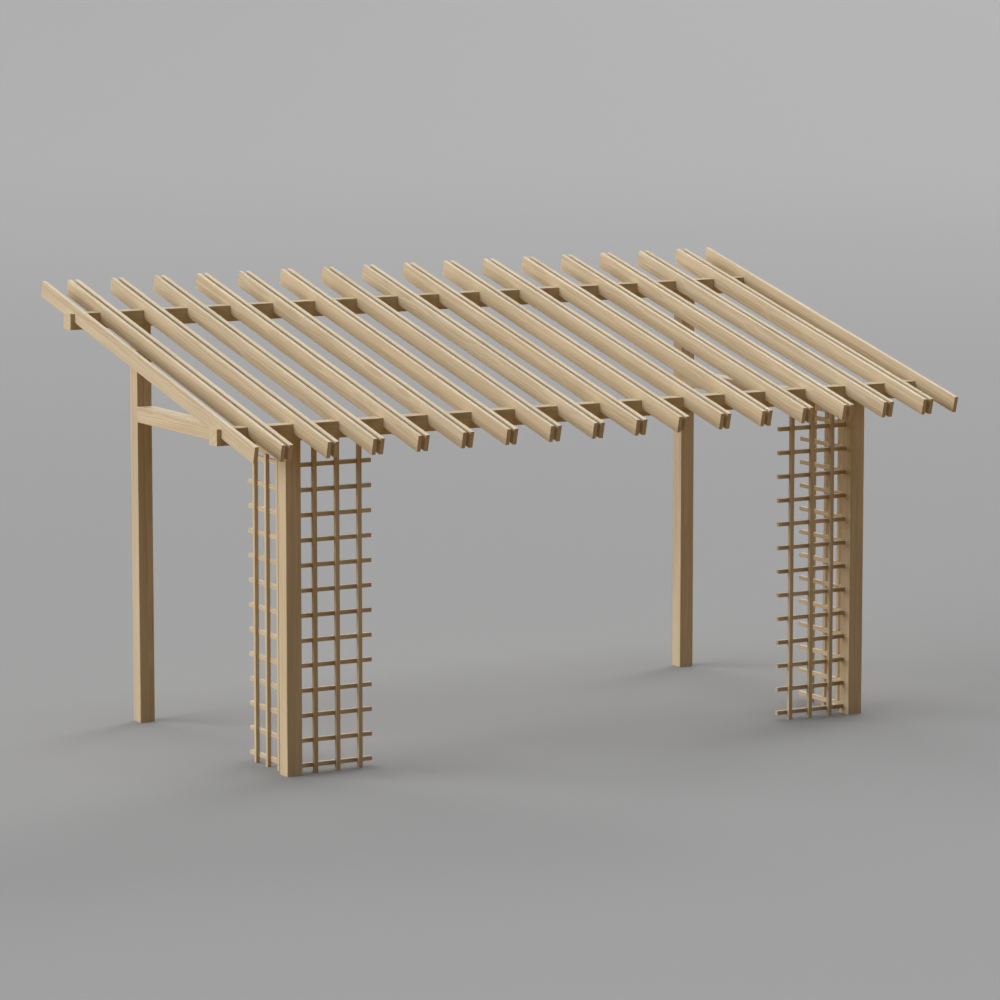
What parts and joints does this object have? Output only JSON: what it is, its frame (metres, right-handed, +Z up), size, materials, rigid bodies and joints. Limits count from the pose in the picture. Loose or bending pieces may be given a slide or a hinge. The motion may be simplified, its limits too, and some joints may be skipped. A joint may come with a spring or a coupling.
{
  "type": "wooden pergola",
  "caption": "Open timber pergola with a gently sloping slatted roof of doubled rafters notched over beams on square posts, and lattice trellis panels at its front corners.",
  "frame": {"origin": "on the ground, under the middle of the roof", "axes": "+X along the beams, +Y from the low front to the high rear, +Z up"},
  "size_m": [6, 3.4992, 3.318],
  "materials": {
    "frame_timber": "planed pale softwood, bare and matt",
    "rafter_board": "planed pale softwood boards, bare and matt",
    "trellis_batten": "planed pale softwood battens, bare and matt"
  },
  "bodies": {
    "root": {"front_left_post": "frame_timber", "front_right_post": "frame_timber", "rear_left_post": "frame_timber", "rear_right_post": "frame_timber", "front_beam": "frame_timber", "rear_beam": "frame_timber", "left_tie": "frame_timber", "right_tie": "frame_timber", "left_end_rafter": "rafter_board", "right_end_rafter": "rafter_board", "rafter_pair_01": "rafter_board", "rafter_pair_02": "rafter_board", "rafter_pair_03": "rafter_board", "rafter_pair_04": "rafter_board", "rafter_pair_05": "rafter_board", "rafter_pair_06": "rafter_board", "rafter_pair_07": "rafter_board", "rafter_pair_08": "rafter_board", "rafter_pair_09": "rafter_board", "rafter_pair_10": "rafter_board", "rafter_pair_11": "rafter_board", "rafter_pair_12": "rafter_board", "rafter_pair_13": "rafter_board", "rafter_pair_14": "rafter_board", "rafter_pair_15": "rafter_board", "rafter_pair_16": "rafter_board", "front_left_trellis": "trellis_batten", "front_right_trellis": "trellis_batten", "side_left_trellis": "trellis_batten", "side_right_trellis": "trellis_batten"}
  },
  "joints": []
}
